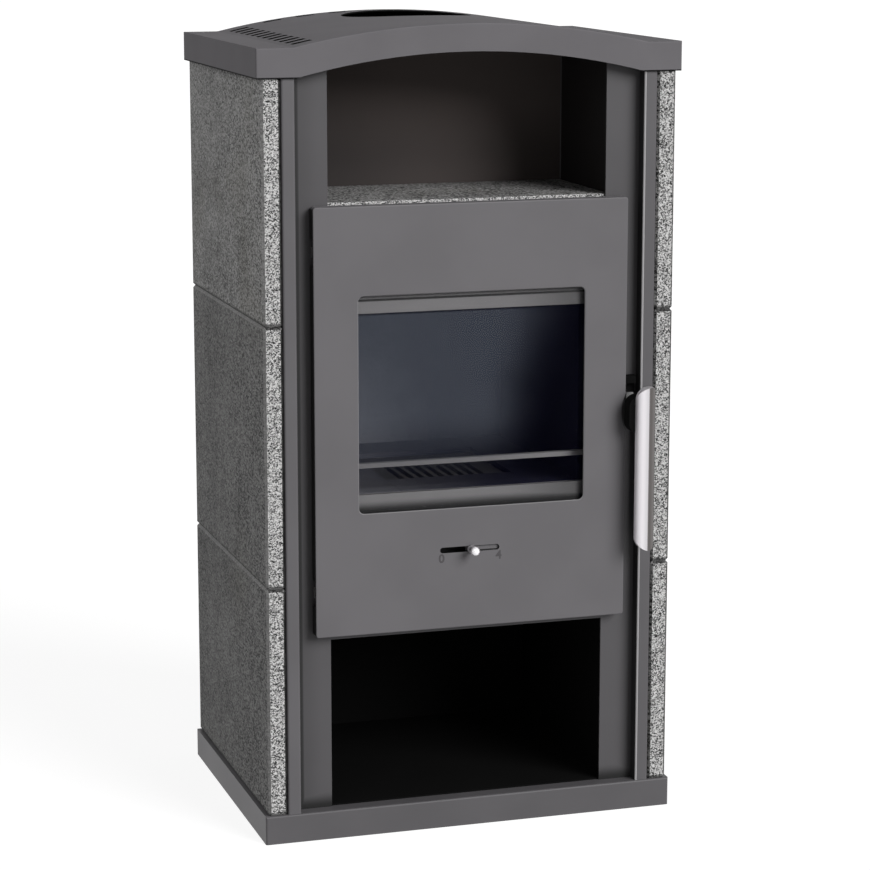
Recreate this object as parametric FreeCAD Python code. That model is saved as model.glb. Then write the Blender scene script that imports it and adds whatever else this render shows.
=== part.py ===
import FreeCAD, Part
import math
import os

# Steel wood stove with stone cladding, in millimetres.
# The origin is the middle of the footprint on the floor, the front faces -Y and Z is up.

# Overall sizes
plinth_width = 560.0
plinth_depth = 410.0
plinth_height = 38.0
shoulder_height = 1027.0

# Sheet thicknesses
casing_sheet = 2.0
liner_sheet = 2.0
panel_sheet = 3.0
door_sheet = 3.0
firebox_steel = 4.0
fold_radius = 1.0

# Clearances
slip_gap = 0.3
running_gap = 0.06
press_gap = 0.02

# Largest distance at which two edges count as lying on the same line or plane
tolerance = 1e-6

# Plinth tray
plinth_flange = 34.0
plinth_round = 2.5

# Arched top cover
cover_overhang = 2.0
cover_round = 2.0
fascia_height = 38.0
shoulder_width = 47.0
shoulder_blend = 12.0
arch_rise = 27.0
mouth_shoulder = 50.0
mouth_rise = 29.5

# Vent slots in the cover
vent_length = 25.0
vent_width = 14.5
side_vent_count = 12
side_vent_pitch = 30.2
side_vent_inset = 67.7
side_vent_shift = -4.0
rear_vent_count = 3
rear_vent_pitch = 46.0
rear_vent_flue_gap = 8.0
rear_vent_side_gap = 27.0
rear_vent_inset = 21.0

# Stone cladding, three blocks on each side
stone_thickness = 25.0
stone_inset = 4.5
stone_end_inset = 1.0
stone_bevel = 3.0
stone_gap = 0.5
stone_top_gap = 5.0
lower_stone_height = 302.0
middle_stone_height = 339.0
key_width = 30.0
key_thickness = 4.0
key_length = 24.0
key_spread = 240.0

# Posts and front panel
post_width = 18.0
post_inset = 1.0
front_recess = 17.0
strip_width = 45.5
rear_flange = 22.0

# Rear panel vents and screws
rear_slot_length = 120.0
rear_slot_height = 6.0
rear_slot_pitch = 18.0
rear_slot_rows = 6
rear_slot_columns = 2
rear_slot_spread = 170.0
lower_slot_rise = 52.0
upper_slot_drop = 21.0
rear_screw_radius = 2.5
rear_screw_head = 4.5
rear_screw_head_height = 2.5
rear_screw_length = 10.0
rear_screw_count = 3
rear_screw_margin = 60.0
cover_screw_spread = 360.0

# Niche above the firebox
slab_top = 831.0
slab_thickness = 25.0
slab_gap = 0.5
slab_bevel = 1.5
slab_reveal = 11.0
ceiling_drop = 5.0
side_duct = 50.5

# Door, its window and its inner frame
door_bottom = 272.0
door_slab_drop = 3.0
door_side_gap = 21.0
door_reach = 2.0
door_back_gap = 3.0
door_corner = 4.0
door_edge_round = 1.5
window_side_border = 58.5
window_lower_border = 160.0
window_upper_border = 114.5
window_corner = 7.0
window_edge_bevel = 1.0
glass_thickness = 4.0
glass_lap = 10.0
glass_gasket_thickness = 2.0
glass_gasket_width = 8.0
frame_sheet = 3.0
frame_gap = 0.5
frame_side_clear = 7.5
frame_lower_lip = 23.0
frame_upper_lip = 23.5
frame_opening_corner = 6.0
boss_radius = 6.0
boss_side_inset = 21.0
boss_end_inset = 20.0
boss_rows = 3
frame_screw_radius = 2.5
frame_screw_head = 4.0
frame_screw_head_height = 2.5
air_port_width = 150.0
air_port_height = 16.0

# Firebox shell and wood store
firebox_side_gap = 10.5
firebox_rise = 14.0
rear_duct = 14.0
fire_opening_lap = 20.0
fire_opening_rise = 24.0
fire_opening_clear = 10.0
fire_opening_corner = 12.0
gasket_width = 10.0
gasket_margin = 6.0
gasket_inner_corner = 6.0
store_lintel_drop = 8.0
store_back_gap = 12.0

# Hearth, bricks and grate
hearth_rise = 152.0
brick_thickness = 28.0
hearth_brick_thickness = 25.0
smoke_space = 65.0
baffle_thickness = 25.0
baffle_front_gap = 74.0
brick_joint = 0.5
grate_opening = 150.0
grate_ledge = 12.0
grate_thickness = 18.0
grate_slot_count = 9
grate_slot_width = 8.0
grate_rim = 12.0
guard_bar_height = 6.0
guard_bar_depth = 8.0
guard_rise = 37.0
guard_lap = 12.0
ember_lip_drop = 8.0
ember_lip_sheet = 3.0

# Ash pan on its rails
ash_pan_side_gap = 23.0
ash_pan_depth = 250.0
ash_pan_headroom = 24.0
ash_pan_sheet = 1.5
ash_pan_setback = 6.0
ash_pull_width = 100.0
ash_pull_reach = 8.0
ash_rail_height = 7.0
ash_rail_width = 14.0

# Flue
flue_pipe_radius = 75.0
flue_socket_gap = 0.5
flue_sheet = 2.0
flue_front_gap = 1.0
flue_back_gap = 2.5
flue_hole_gap = 8.5
collar_wall = 4.0
collar_drop = 19.0
collar_lap = 20.0
collar_ledge = 2.0
socket_depth = 50.0

# Heat shield behind the firebox
shield_lap = 3.0
shield_lower_inset = 14.0
shield_upper_inset = 29.0
shield_sheet = 1.5
shield_standoff = 15.5
spacer_radius = 6.0
spacer_inset = 40.0

# Concealed lift-off hinges
hinge_inset = 6.0
hinge_setback = 8.0
hinge_end_inset = 58.0
hinge_pin_radius = 3.0
hinge_pin_length = 16.0
hinge_arm_thickness = 8.0
hinge_arm_radius = 4.5
hinge_arm_width = 10.0
hinge_arm_offset = 1.0
hinge_base_width = 18.0
hinge_base_height = 28.0
hinge_base_thickness = 3.0
hinge_eye_height = 13.0
hinge_eye_width = 25.5
hinge_eye_side = 5.5
hinge_cut_margin = 3.0

# Handle and latch
handle_rise = 273.0
handle_notch_depth = 6.0
handle_notch_height = 50.0
latch_window_margin = 8.0
latch_tab_height = 26.0
latch_tab_wall = 2.0
shaft_radius = 5.0
bushing_wall = 2.0
bushing_front_gap = 2.0
hub_width = 28.0
hub_height = 50.0
hub_bevel = 2.0
hub_gap = 2.0
hub_socket_depth = 14.0
bar_standoff = 23.0
bar_width = 27.5
bar_depth = 14.0
bar_length = 217.0
bar_ridge = 14.0
bar_inner_bulge = 3.6
bar_outer_bulge = 1.6
bar_overhang = 37.0
bar_side_shift = 6.0
bar_inner_round = 17.0
bar_outer_round = 7.0
cam_boss_wall = 2.5
cam_width = 10.0
cam_reach = 24.0
cam_front_gap = 0.5
cam_back_gap = 1.2
keeper_gap = 0.6
keeper_height = 22.0
keeper_width = 14.0
keeper_sheet = 3.0
keeper_lip_height = 10.0
keeper_throat = 4.5

# Air slide
air_slot_length = 81.0
air_slot_height = 7.5
air_slot_drop = 55.5
air_slot_shift = -3.5
slide_sheet = 2.0
slide_height = 28.0
slide_tail = 6.0
slide_front_gap = 0.4
knob_shift = 1.5
knob_stem_radius = 2.8
knob_radius = 6.0
knob_reach = 17.0
knob_collar_radius = 5.5
knob_collar_thickness = 2.5
guide_margin = 8.0
guide_width = 5.0
guide_lip = 4.0
guide_lip_sheet = 1.5

# Planes of the casing, from the footprint inwards
front_y = -plinth_depth / 2
back_y = plinth_depth / 2
cover_half_width = plinth_width / 2 + cover_overhang
cover_front = front_y - cover_overhang
cover_back = back_y + cover_overhang
cover_bottom = shoulder_height - fascia_height
cover_top = shoulder_height + arch_rise
arch_half_width = cover_half_width - shoulder_width
arch_radius = (arch_half_width ** 2 + arch_rise ** 2) / (2 * arch_rise)
mouth_half_width = cover_half_width - mouth_shoulder
stone_outer = plinth_width / 2 - stone_inset
stone_inner = stone_outer - stone_thickness
side_outer = stone_inner - stone_gap
side_inner = side_outer - casing_sheet
side_top = shoulder_height - casing_sheet
post_front = front_y + post_inset
post_inner = side_outer - post_width
opening_half_width = post_inner - strip_width
panel_front = post_front + front_recess
panel_back = panel_front + panel_sheet
rear_inner = back_y - casing_sheet

# Planes of the firebox, flue and niche, from the rear forwards
shield_front = rear_inner - shield_standoff - shield_sheet
firebox_back = shield_front - rear_duct
firebox_back_inner = firebox_back - firebox_steel
flue_bore_radius = flue_pipe_radius + flue_socket_gap
collar_outer = flue_bore_radius + collar_wall
flue_hole_radius = collar_outer + flue_hole_gap
flue_centre = firebox_back_inner - flue_back_gap - flue_pipe_radius
niche_back = flue_centre - collar_outer - flue_front_gap - liner_sheet
niche_outer = side_inner - side_duct
niche_inner = niche_outer - liner_sheet
firebox_outer = niche_outer - firebox_side_gap
firebox_inner = firebox_outer - firebox_steel
fire_opening_half = firebox_inner - fire_opening_lap
store_back = firebox_back - store_back_gap

# Levels of the niche, door and firebox
store_floor = plinth_height + casing_sheet
slab_bottom = slab_top - slab_thickness
shelf_bottom = slab_bottom - liner_sheet
ceiling_level = side_top - ceiling_drop
niche_opening_bottom = slab_top - slab_reveal
door_top = slab_top - door_slab_drop
window_bottom = door_bottom + window_lower_border
window_top = door_top - window_upper_border
frame_opening_bottom = window_bottom + frame_lower_lip
frame_opening_top = window_top - frame_upper_lip
fire_opening_bottom = door_bottom + fire_opening_rise
fire_opening_top = frame_opening_top + fire_opening_clear
store_opening_top = door_bottom - store_lintel_drop
firebox_floor = door_bottom + firebox_rise
firebox_roof = shelf_bottom - firebox_steel
ash_floor = firebox_floor + firebox_steel
hearth_level = door_bottom + hearth_rise
brick_base = hearth_level + firebox_steel
hearth_top = brick_base + hearth_brick_thickness
brick_top = firebox_roof - smoke_space
guard_bar_level = hearth_top + guard_rise
ember_lip_bottom = hearth_level - ember_lip_drop
collar_top = cover_top - collar_drop
socket_floor = collar_top - socket_depth
collar_ledge_bottom = socket_floor - collar_ledge

# Planes of the bricks and guards
brick_inner = firebox_inner - brick_thickness
rear_brick_front = firebox_back_inner - brick_thickness
ember_lip_back = panel_back + ember_lip_sheet
guard_back = panel_back + guard_bar_depth
grate_half = grate_opening / 2 + grate_ledge
grate_centre = (guard_back + rear_brick_front) / 2
ash_pan_half = fire_opening_half - ash_pan_side_gap
ash_pan_front = panel_back + ash_pan_setback
ash_pan_bottom = ash_floor + ash_rail_height
ash_pan_top = ember_lip_bottom - ash_pan_headroom

# Planes of the door, from its front face back to the panel
door_half = post_inner - door_side_gap
door_front = post_front - door_reach
door_face_back = door_front + door_sheet
door_back = panel_front - door_back_gap
window_half = door_half - window_side_border
glass_front = door_face_back + glass_gasket_thickness
glass_back = glass_front + glass_thickness
frame_front = glass_back + slip_gap
frame_back = frame_front + frame_sheet
frame_half = door_half - door_sheet - frame_gap
frame_bottom = door_bottom + door_sheet + frame_gap
frame_top = door_top - door_sheet - frame_gap
frame_opening_half = window_half + frame_side_clear
hinge_x = -door_half + hinge_inset
hinge_y = door_front + hinge_setback
hinge_levels = (door_bottom + hinge_end_inset, door_top - hinge_end_inset)
handle_x = (door_half + post_inner) / 2
handle_level = door_bottom + handle_rise
bushing_radius = shaft_radius + bushing_wall
hub_front = door_front - bar_standoff
hub_back = door_front - hub_gap
bar_left = handle_x - bar_side_shift
bar_bottom = handle_level + bar_overhang - bar_length
cam_front = frame_back + cam_front_gap
cam_back = panel_front - cam_back_gap
air_slot_level = window_bottom - air_slot_drop
air_slot_left = air_slot_shift - air_slot_length / 2
air_slot_right = air_slot_shift + air_slot_length / 2
knob_x = air_slot_shift + knob_shift
slide_front = door_face_back + slide_front_gap
slide_back = slide_front + slide_sheet
slide_left = knob_x - slide_tail
slide_right = air_slot_right + knob_x - air_slot_left - knob_stem_radius


def box(x0, x1, y0, y1, z0, z1):
    return Part.makeBox(x1 - x0, y1 - y0, z1 - z0, FreeCAD.Vector(x0, y0, z0))


def cylinder_z(x, y, z0, z1, radius):
    return Part.makeCylinder(radius, z1 - z0, FreeCAD.Vector(x, y, z0))


def cylinder_y(x, z, y0, y1, radius):
    return Part.makeCylinder(radius, y1 - y0, FreeCAD.Vector(x, y0, z), FreeCAD.Vector(0, 1, 0))


def mirror_x(shape):
    return shape.mirror(FreeCAD.Vector(0, 0, 0), FreeCAD.Vector(1, 0, 0))


def line(start, end):
    return Part.LineSegment(start, end).toShape()


def arc(start, middle, end):
    return Part.Arc(start, middle, end).toShape()


def bulged(start, end, bulge):
    """Arc in X and Y from start to end, standing out by the bulge on the right of its way."""
    chord = end - start
    outward = FreeCAD.Vector(chord.y, -chord.x, 0).normalize()
    return arc(start, (start + end) * 0.5 + outward * bulge, end)


def face_of(edges):
    return Part.Face(Part.Wire(edges))


def rounded_prism(x0, x1, y0, y1, z0, z1, radius):
    """Rectangle in X and Z with rounded corners, running along Y."""
    block = box(x0, x1, y0, y1, z0, z1)
    corners = [edge for edge in block.Edges if abs(edge.BoundBox.YLength - (y1 - y0)) < tolerance]
    return block.makeFillet(radius, corners)


def rim_edges(shape):
    """Edges of the front and back outlines of a plain hood or tray, apart from those of its underside."""
    low = shape.BoundBox.ZMin + tolerance
    return [edge for edge in shape.Edges if edge.BoundBox.YLength < tolerance and edge.BoundBox.ZMax > low]


def hexagon_y(x, z, y0, y1, radius):
    """Hexagonal prism along Y, such as a screw head."""
    turns = [step * math.pi / 3 for step in range(6)]
    corners = [FreeCAD.Vector(x + radius * math.cos(turn), y0, z + radius * math.sin(turn)) for turn in turns]
    outline = Part.makePolygon(corners + corners[:1])
    return Part.Face(outline).extrude(FreeCAD.Vector(0, y1 - y0, 0))


def slot_y(x0, x1, y0, y1, z0, z1):
    """Round-ended slot along X or Z, running through along Y."""
    radius = min(x1 - x0, z1 - z0) / 2
    ends = [cylinder_y(x0 + radius, z0 + radius, y0, y1, radius),
            cylinder_y(x1 - radius, z1 - radius, y0, y1, radius)]
    if x1 - x0 > z1 - z0:
        middle = box(x0 + radius, x1 - radius, y0, y1, z0, z1)
    else:
        middle = box(x0, x1, y0, y1, z0 + radius, z1 - radius)
    return middle.multiFuse(ends).removeSplitter()


def folded_sheet(points, sheet, z0, z1):
    """Upright sheet whose middle line runs through the points, folded on a radius at each one between."""
    bend = fold_radius + sheet / 2
    sides = {1: [], -1: []}
    for side, edges in sides.items():
        shift = side * sheet / 2
        last = None
        for index, point in enumerate(points):
            ahead = (points[index + 1] - point).normalize() if index + 1 < len(points) else None
            behind = (point - points[index - 1]).normalize() if index > 0 else None
            if ahead is None or behind is None:
                along = ahead or behind
                normal = FreeCAD.Vector(-along.y, along.x, 0)
                spots = [point + normal * shift]
            else:
                turn = behind.cross(ahead).z
                centre = point - behind * bend + ahead * bend
                inward = FreeCAD.Vector(-behind.y, behind.x, 0) * math.copysign(1, turn)
                radius = bend - math.copysign(1, turn) * shift
                first = centre - inward * radius
                final = centre - ahead.cross(FreeCAD.Vector(0, 0, 1)) * -math.copysign(1, turn) * radius
                middle = centre - (centre - first + centre - final).normalize() * radius
                spots = [first, middle, final]
            if last is not None:
                edges.append(line(last, spots[0]))
            if len(spots) == 3:
                edges.append(arc(*spots))
            last = spots[-1]
    ends = [line(sides[1][0].firstVertex().Point, sides[-1][0].firstVertex().Point),
            line(sides[1][-1].lastVertex().Point, sides[-1][-1].lastVertex().Point)]
    wire = Part.Wire(Part.__sortEdges__(sides[1] + sides[-1] + ends))
    section = Part.Face(wire)
    section.translate(FreeCAD.Vector(0, 0, z0))
    return section.extrude(FreeCAD.Vector(0, 0, z1 - z0))


def arch_section(inset):
    """Cover section across X: flat shoulders blended into a wide arch, closed along the bottom."""
    half = cover_half_width - inset
    shoulder = shoulder_height - inset
    centre_z = cover_top - arch_radius
    blend_z = shoulder_height + shoulder_blend
    blend_x = math.sqrt((arch_radius + shoulder_blend) ** 2 - (blend_z - centre_z) ** 2)
    share = (arch_radius - inset) / (arch_radius + shoulder_blend)
    join_x = blend_x * share
    join_z = centre_z + (blend_z - centre_z) * share
    lean = math.atan2(blend_x, blend_z - centre_z) / 2
    blend_radius = shoulder_blend + inset
    mid_x = blend_x - blend_radius * math.sin(lean)
    mid_z = blend_z - blend_radius * math.cos(lean)

    def at(x, z):
        return FreeCAD.Vector(x, cover_front, z)

    edges = [
        line(at(-half, cover_bottom), at(-half, shoulder)),
        line(at(-half, shoulder), at(-blend_x, shoulder)),
        arc(at(-blend_x, shoulder), at(-mid_x, mid_z), at(-join_x, join_z)),
        arc(at(-join_x, join_z), at(0, cover_top - inset), at(join_x, join_z)),
        arc(at(join_x, join_z), at(mid_x, mid_z), at(blend_x, shoulder)),
        line(at(blend_x, shoulder), at(half, shoulder)),
        line(at(half, shoulder), at(half, cover_bottom)),
        line(at(half, cover_bottom), at(-half, cover_bottom)),
    ]
    return face_of(edges)


def vent_slot(x, y):
    """Upright cutter for one vent."""
    return box(x - vent_length / 2, x + vent_length / 2, y - vent_width / 2, y + vent_width / 2,
               cover_bottom, cover_top + casing_sheet)


def cover_vents():
    """Vent slots: a row along each shoulder and a short row at the back, clear of the flue hole."""
    cuts = []
    side_x = cover_half_width - side_vent_inset
    for index in range(side_vent_count):
        steps = index - (side_vent_count - 1) / 2
        cuts.append(vent_slot(side_x, side_vent_shift + steps * side_vent_pitch))
    rear_y = cover_back - rear_vent_inset
    near_y = rear_y - vent_width / 2
    hole_edge = math.sqrt(max(flue_hole_radius ** 2 - (near_y - flue_centre) ** 2, 0))
    nearest = hole_edge + rear_vent_flue_gap + vent_length / 2
    last = side_x - vent_length - rear_vent_side_gap
    first = max(last - (rear_vent_count - 1) * rear_vent_pitch, nearest)
    for index in range(rear_vent_count):
        cuts.append(vent_slot(first + index * (last - first) / (rear_vent_count - 1), rear_y))
    return cuts + [mirror_x(cut) for cut in cuts]


def make_top_cover():
    depth = cover_back - cover_front
    hood = arch_section(0).extrude(FreeCAD.Vector(0, depth, 0))
    hood = hood.makeFillet(cover_round, rim_edges(hood))
    inside = arch_section(casing_sheet).extrude(FreeCAD.Vector(0, depth - 2 * casing_sheet, 0))
    inside.translate(FreeCAD.Vector(0, casing_sheet, 0))
    left = FreeCAD.Vector(-mouth_half_width, cover_front, cover_bottom)
    right = FreeCAD.Vector(mouth_half_width, cover_front, cover_bottom)
    crown = FreeCAD.Vector(0, cover_front, cover_bottom + mouth_rise)
    mouth = face_of([arc(left, crown, right), line(right, left)])
    mouth = mouth.extrude(FreeCAD.Vector(0, casing_sheet, 0))
    hole = cylinder_z(0, flue_centre, cover_bottom, cover_top + casing_sheet, flue_hole_radius)
    return hood.cut([inside, mouth, hole] + cover_vents())


def make_base_plinth():
    half = plinth_width / 2
    tray = box(-half, half, front_y, back_y, 0, plinth_height)
    tray = tray.makeFillet(plinth_round, rim_edges(tray))
    hollow = box(-half + casing_sheet, half - casing_sheet, front_y + casing_sheet, back_y - casing_sheet,
                 casing_sheet, plinth_height - casing_sheet)
    well = box(-half + plinth_flange, half - plinth_flange, front_y + plinth_flange,
               back_y - plinth_flange, casing_sheet, plinth_height)
    return tray.cut([hollow, well])


def make_wood_store_floor():
    half = side_inner - slip_gap
    return box(-half, half, panel_back, rear_inner - casing_sheet - slip_gap, plinth_height, store_floor)


def make_right_side_panel():
    """One folded sheet: rear flange, side wall, front post and the post's return to the front panel."""
    middle = casing_sheet / 2
    path = [
        FreeCAD.Vector(side_outer - rear_flange, rear_inner - middle, 0),
        FreeCAD.Vector(side_outer - middle, rear_inner - middle, 0),
        FreeCAD.Vector(side_outer - middle, post_front + middle, 0),
        FreeCAD.Vector(post_inner + middle, post_front + middle, 0),
        FreeCAD.Vector(post_inner + middle, panel_back, 0),
    ]
    return folded_sheet(path, casing_sheet, plinth_height, side_top)


def make_front_panel():
    """Recessed plate with the niche open at the top, the fire opening and the wood store open below."""
    panel = box(-post_inner, post_inner, panel_front, panel_back, plinth_height, ceiling_level)
    half = opening_half_width
    niche = box(-half, half, panel_front, panel_back, niche_opening_bottom, ceiling_level)
    store = box(-half, half, panel_front, panel_back, plinth_height, store_opening_top)
    fire = rounded_prism(-fire_opening_half, fire_opening_half, panel_front, panel_back,
                         fire_opening_bottom, fire_opening_top, fire_opening_corner)
    return panel.cut([niche, store, fire])


def rear_slots():
    cuts = []
    lower = plinth_height + lower_slot_rise
    upper = cover_bottom - upper_slot_drop - rear_slot_rows * rear_slot_pitch
    for level in (lower, upper):
        for row in range(rear_slot_rows):
            z = level + row * rear_slot_pitch
            for column in range(rear_slot_columns):
                x = (column - (rear_slot_columns - 1) / 2) * rear_slot_spread
                cuts.append(box(x - rear_slot_length / 2, x + rear_slot_length / 2,
                                rear_inner, back_y, z, z + rear_slot_height))
    return cuts


def rear_screw_places():
    x = side_outer - rear_flange / 2
    bottom = plinth_height + rear_screw_margin
    step = (cover_bottom - rear_screw_margin - bottom) / (rear_screw_count - 1)
    return [(side * x, bottom + index * step) for side in (-1, 1) for index in range(rear_screw_count)]


def cover_screw_places():
    return [(side * cover_screw_spread / 2, cover_bottom + fascia_height / 2) for side in (-1, 1)]


def make_rear_panel():
    panel = box(-side_outer, side_outer, rear_inner, back_y, plinth_height, side_top - slip_gap)
    holes = [cylinder_y(x, z, rear_inner, back_y, rear_screw_radius + slip_gap)
             for x, z in rear_screw_places() + cover_screw_places()]
    return panel.cut(rear_slots() + holes)


def make_rear_screws():
    """Screws through the rear panel into the side flanges, and through the cover into the rear panel."""
    screws = []
    for x, z in rear_screw_places():
        head = hexagon_y(x, z, back_y, back_y + rear_screw_head_height, rear_screw_head)
        shank = cylinder_y(x, z, back_y - rear_screw_length, back_y, rear_screw_radius)
        screws.append(head.fuse(shank).removeSplitter())
    for x, z in cover_screw_places():
        head = hexagon_y(x, z, cover_back, cover_back + rear_screw_head_height, rear_screw_head)
        shank = cylinder_y(x, z, cover_back - rear_screw_length, cover_back, rear_screw_radius)
        screws.append(head.fuse(shank).removeSplitter())
    return Part.makeCompound(screws)


def drilled_right_side_panel():
    holes = [cylinder_y(x, z, rear_inner - casing_sheet, rear_inner, rear_screw_radius + slip_gap)
             for x, z in rear_screw_places() if x > 0]
    return make_right_side_panel().cut(holes)


def drilled_top_cover():
    holes = [cylinder_y(x, z, back_y, cover_back, rear_screw_radius + slip_gap)
             for x, z in cover_screw_places()]
    return make_top_cover().cut(holes)


def stone_levels():
    lower = plinth_height + lower_stone_height
    middle = lower + middle_stone_height
    return [plinth_height, lower, middle, side_top - stone_top_gap]


def stone_key(x, y, z0, z1, clearance):
    """Flat key across a joint, or its pocket when it is given a clearance."""
    thick = key_thickness / 2 + clearance
    wide = key_width / 2 + clearance
    return box(x - thick, x + thick, y - wide, y + wide, z0, z1)


def key_places():
    x = (stone_inner + stone_outer) / 2
    return [(x, -key_spread / 2), (x, key_spread / 2)]


def make_right_stone(index):
    levels = stone_levels()
    bottom = levels[index]
    top = levels[index + 1]
    block = box(stone_inner, stone_outer, front_y + stone_end_inset, back_y - stone_end_inset, bottom, top)
    block = block.makeChamfer(stone_bevel, block.Edges)
    half = key_length / 2 + slip_gap
    lower_reach = half if index > 0 else key_length + slip_gap
    pockets = [stone_key(x, y, bottom, bottom + lower_reach, slip_gap) for x, y in key_places()]
    if top < levels[-1]:
        pockets += [stone_key(x, y, top - half, top, slip_gap) for x, y in key_places()]
    return block.cut(pockets)


def make_stone_keys():
    """Keys that stand on the plinth and cross each joint between two blocks."""
    keys = []
    for index, level in enumerate(stone_levels()[:-1]):
        start = level - key_length / 2 if index > 0 else level
        keys += [stone_key(x, y, start, start + key_length, 0) for x, y in key_places()]
    return Part.makeCompound(keys + [mirror_x(key) for key in keys])


def open_liner(half, back, z0, z1):
    """U of folded sheet: two side walls from the front panel and the back wall between them."""
    middle = liner_sheet / 2
    path = [
        FreeCAD.Vector(-half - middle, panel_back, 0),
        FreeCAD.Vector(-half - middle, back + middle, 0),
        FreeCAD.Vector(half + middle, back + middle, 0),
        FreeCAD.Vector(half + middle, panel_back, 0),
    ]
    return folded_sheet(path, liner_sheet, z0, z1)


def make_niche_liner():
    return open_liner(niche_inner, niche_back, slab_bottom, ceiling_level)


def make_wood_store_liner():
    return open_liner(niche_inner, store_back, store_floor, firebox_floor)


def make_niche_ceiling():
    half = side_inner - slip_gap
    return box(-half, half, panel_back, niche_back + liner_sheet, ceiling_level, ceiling_level + liner_sheet)


def make_niche_shelf_plate():
    return box(-niche_outer, niche_outer, panel_back, niche_back + liner_sheet, shelf_bottom, slab_bottom)


def make_niche_stone_slab():
    half = niche_inner - slab_gap - fold_radius
    slab = box(-half, half, panel_back + slab_gap, niche_back - slab_gap, slab_bottom, slab_top)
    return slab.makeChamfer(slab_bevel, slab.Edges)


def make_right_firebox_wall():
    return box(firebox_inner, firebox_outer, panel_back, firebox_back, ash_floor, firebox_roof)


def make_firebox_back_wall():
    return box(-firebox_inner, firebox_inner, firebox_back_inner, firebox_back, ash_floor, firebox_roof)


def make_firebox_bottom():
    return box(-niche_outer, niche_outer, panel_back, firebox_back, firebox_floor, ash_floor)


def make_firebox_top():
    plate = box(-firebox_outer, firebox_outer, panel_back, firebox_back, firebox_roof, shelf_bottom)
    port = cylinder_z(0, flue_centre, firebox_roof, shelf_bottom, flue_pipe_radius - flue_sheet)
    return plate.cut(port)


def make_hearth_plate():
    plate = box(-firebox_inner, firebox_inner, ember_lip_back, firebox_back_inner, hearth_level, brick_base)
    half = grate_opening / 2
    well = box(-half, half, grate_centre - half, grate_centre + half, hearth_level, brick_base)
    return plate.cut(well)


def make_flue_duct():
    outer = cylinder_z(0, flue_centre, shelf_bottom, collar_ledge_bottom, flue_pipe_radius)
    inner = cylinder_z(0, flue_centre, shelf_bottom, collar_ledge_bottom, flue_pipe_radius - flue_sheet)
    return outer.cut(inner)


def make_flue_collar():
    """Turned socket: its skirt slips over the duct, and the pipe stands on the ledge inside."""
    ledge_radius = flue_pipe_radius - flue_sheet
    skirt_radius = flue_pipe_radius + slip_gap
    outline = [
        (skirt_radius, collar_ledge_bottom - collar_lap),
        (collar_outer, collar_ledge_bottom - collar_lap),
        (collar_outer, collar_top),
        (flue_bore_radius, collar_top),
        (flue_bore_radius, socket_floor),
        (ledge_radius, socket_floor),
        (ledge_radius, collar_ledge_bottom),
        (skirt_radius, collar_ledge_bottom),
    ]
    points = [FreeCAD.Vector(radius, flue_centre, z) for radius, z in outline]
    section = Part.Face(Part.makePolygon(points + points[:1]))
    return section.revolve(FreeCAD.Vector(0, flue_centre, 0), FreeCAD.Vector(0, 0, 1), 360)


def make_right_firebrick():
    return box(brick_inner, firebox_inner - slip_gap, guard_back + brick_joint, firebox_back_inner - slip_gap,
               brick_base, brick_top)


def make_rear_firebrick():
    half = brick_inner - brick_joint
    return box(-half, half, rear_brick_front, firebox_back_inner - slip_gap, brick_base, brick_top)


def make_hearth_bricks():
    """Four floor bricks around the grate."""
    half = brick_inner - brick_joint
    inner = grate_half + brick_joint
    front = guard_back + brick_joint
    back = rear_brick_front - brick_joint
    right = box(inner, half, front, back, brick_base, hearth_top)
    inner_half = inner - brick_joint
    fore = box(-inner_half, inner_half, front, grate_centre - inner, brick_base, hearth_top)
    aft = box(-inner_half, inner_half, grate_centre + inner, back, brick_base, hearth_top)
    return Part.makeCompound([right, mirror_x(right), fore, aft])


def make_baffle_plate():
    half = firebox_inner - brick_joint
    return box(-half, half, panel_back + baffle_front_gap, firebox_back_inner - brick_joint,
               brick_top, brick_top + baffle_thickness)


def make_fire_grate():
    plate = box(-grate_half, grate_half, grate_centre - grate_half, grate_centre + grate_half,
                brick_base, brick_base + grate_thickness)
    clear = grate_opening / 2 - grate_rim
    step = 2 * clear / grate_slot_count
    cuts = []
    for index in range(grate_slot_count):
        x = -clear + (index + 0.5) * step
        cuts.append(box(x - grate_slot_width / 2, x + grate_slot_width / 2, grate_centre - clear,
                        grate_centre + clear, brick_base, brick_base + grate_thickness))
    return plate.cut(cuts)


def make_log_guard():
    half = fire_opening_half + guard_lap
    low = guard_bar_level - guard_bar_height / 2
    return box(-half, half, panel_back, guard_back, low, low + guard_bar_height)


def make_ember_lip():
    half = fire_opening_half + guard_lap
    return box(-half, half, panel_back, ember_lip_back, ember_lip_bottom, hearth_top)


def make_ash_pan():
    half = ash_pan_half
    back = ash_pan_front + ash_pan_depth
    tray = box(-half, half, ash_pan_front, back, ash_pan_bottom, ash_pan_top)
    hollow = box(-half + ash_pan_sheet, half - ash_pan_sheet, ash_pan_front + ash_pan_sheet,
                 back - ash_pan_sheet, ash_pan_bottom + ash_pan_sheet, ash_pan_top)
    pull = box(-ash_pull_width / 2, ash_pull_width / 2, ash_pan_front - ash_pull_reach, ash_pan_front,
               ash_pan_top - ash_pan_sheet, ash_pan_top)
    return tray.cut(hollow).fuse(pull).removeSplitter()


def make_ash_pan_rails():
    rail = box(ash_pan_half - ash_rail_width, ash_pan_half, ash_pan_front, ash_pan_front + ash_pan_depth,
               ash_floor, ash_pan_bottom)
    return Part.makeCompound([rail, mirror_x(rail)])


def make_heat_shield():
    half = firebox_outer + shield_lap
    return box(-half, half, shield_front, shield_front + shield_sheet,
               firebox_floor + shield_lower_inset, cover_bottom - shield_upper_inset)


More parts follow.
